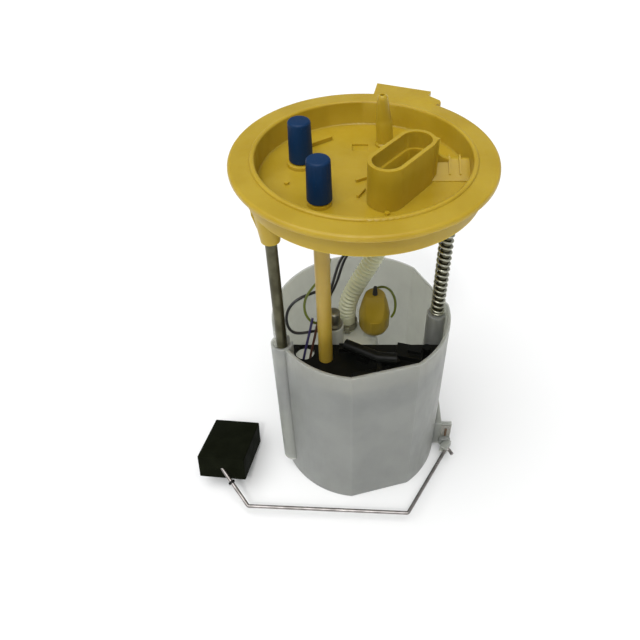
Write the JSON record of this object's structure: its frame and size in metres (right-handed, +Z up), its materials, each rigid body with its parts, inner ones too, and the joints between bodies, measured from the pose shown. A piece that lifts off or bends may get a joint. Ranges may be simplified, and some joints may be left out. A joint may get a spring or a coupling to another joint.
{
  "type": "electric fuel pump module",
  "caption": "In-tank fuel pump module: round tank flange on two guide rods over a reservoir pot, with pump, hose, level float on a bent wire arm and two blue transit caps.",
  "frame": {"origin": "centre of the reservoir pot's bottom face", "axes": "+Z up from the pot through the flange, front of the pot with the float arm towards -Y, arm pivot side +X"},
  "size_m": [0.1846, 0.1584, 0.26],
  "materials": {
    "yellow_pom": "satin moulded acetal",
    "tinned": "tinned",
    "rod_steel": "dull ground",
    "spring_steel": "drawn wire",
    "cream_pipe": "satin",
    "blue_cap": "satin",
    "white_pom": "satin natural acetal",
    "rubber": "matt",
    "filter_mesh": "woven nylon",
    "pump_plastic": "satin",
    "can_steel": "zinc plated",
    "ferrite": "sintered",
    "laminations": "stacked sheet",
    "copper": "bare copper",
    "carbon": "pressed carbon",
    "ochre_plug": "satin",
    "black_cover": "satin",
    "hose_nylon": "satin",
    "ceramic": "fired ceramic",
    "arm_wire": "drawn wire",
    "float_foam": "closed cell rubber",
    "clip_black": "satin",
    "wire_black": "satin",
    "wire_green": "satin",
    "wire_violet": "satin",
    "wire_brown": "satin"
  },
  "bodies": {
    "reservoir": {"return_spring": "spring_steel", "reservoir_pot": "white_pom", "sender_housing": "white_pom", "pump_isolator": "rubber", "inlet_flap": "rubber", "plug_boot": "rubber", "inlet_strainer": "filter_mesh", "pump_inlet_cap": "pump_plastic", "pump_plate": "pump_plastic", "pump_top_cap": "pump_plastic", "pump_can": "can_steel", "pressure_regulator": "can_steel", "hose_clamp_lower": "can_steel", "pump_magnet_left": "ferrite", "pump_magnet_right": "ferrite", "pump_brush_left": "carbon", "pump_brush_right": "carbon", "pump_plug": "ochre_plug", "jet_pump_cover": "black_cover", "jet_pump_elbow": "black_cover", "corrugated_hose": "hose_nylon", "resistor_card": "ceramic", "wire_supply_left": "wire_black", "wire_supply_right": "wire_black", "wire_loop_black": "wire_black", "wire_loop_green": "wire_green", "plug_lead_green": "wire_green", "wire_violet": "wire_violet", "wire_brown": "wire_brown"},
    "flange_unit": {"flange": "yellow_pom", "contact_blade_1": "tinned", "contact_blade_2": "tinned", "contact_blade_3": "tinned", "contact_blade_4": "tinned", "guide_rod_left": "rod_steel", "guide_rod_right": "rod_steel", "rod_clip_left": "rod_steel", "rod_clip_right": "rod_steel", "stand_pipe": "cream_pipe", "hose_clamp_upper": "can_steel"},
    "float_arm": {"float_wire": "arm_wire", "float": "float_foam", "float_retainer": "clip_black", "sender_lever": "white_pom", "sender_wiper": "copper"},
    "pump_rotor": {"pump_shaft": "rod_steel", "pump_armature": "laminations", "pump_commutator": "copper", "pump_impeller": "pump_plastic"},
    "front_cap": {"cap_front": "blue_cap"},
    "rear_cap": {"cap_rear": "blue_cap"}
  },
  "joints": [
    {"name": "flange_travel", "type": "slide", "parent": "reservoir", "child": "flange_unit", "axis": [0, 0, 1], "range_m": [-0.03, 0], "stiffness_N_per_m": 300, "springref_m": 0.04, "deforming": ["return_spring", "corrugated_hose", "wire_supply_left", "wire_supply_right"]},
    {"name": "float_pivot", "type": "hinge", "parent": "reservoir", "child": "float_arm", "pos_m": [0.064, -0.0158, 0.009], "axis": [0, 1, 0], "range_deg": [0, 25]},
    {"name": "rotor_spin", "type": "hinge", "parent": "reservoir", "child": "pump_rotor", "pos_m": [-0.007, 0.008, 0.05], "axis": [0, 0, 1], "continuous": true},
    {"name": "front_cap_lift", "type": "slide", "parent": "flange_unit", "child": "front_cap", "axis": [0, 0, 1], "range_m": [0, 0.03]},
    {"name": "rear_cap_lift", "type": "slide", "parent": "flange_unit", "child": "rear_cap", "axis": [0, 0, 1], "range_m": [0, 0.03]}
  ]
}
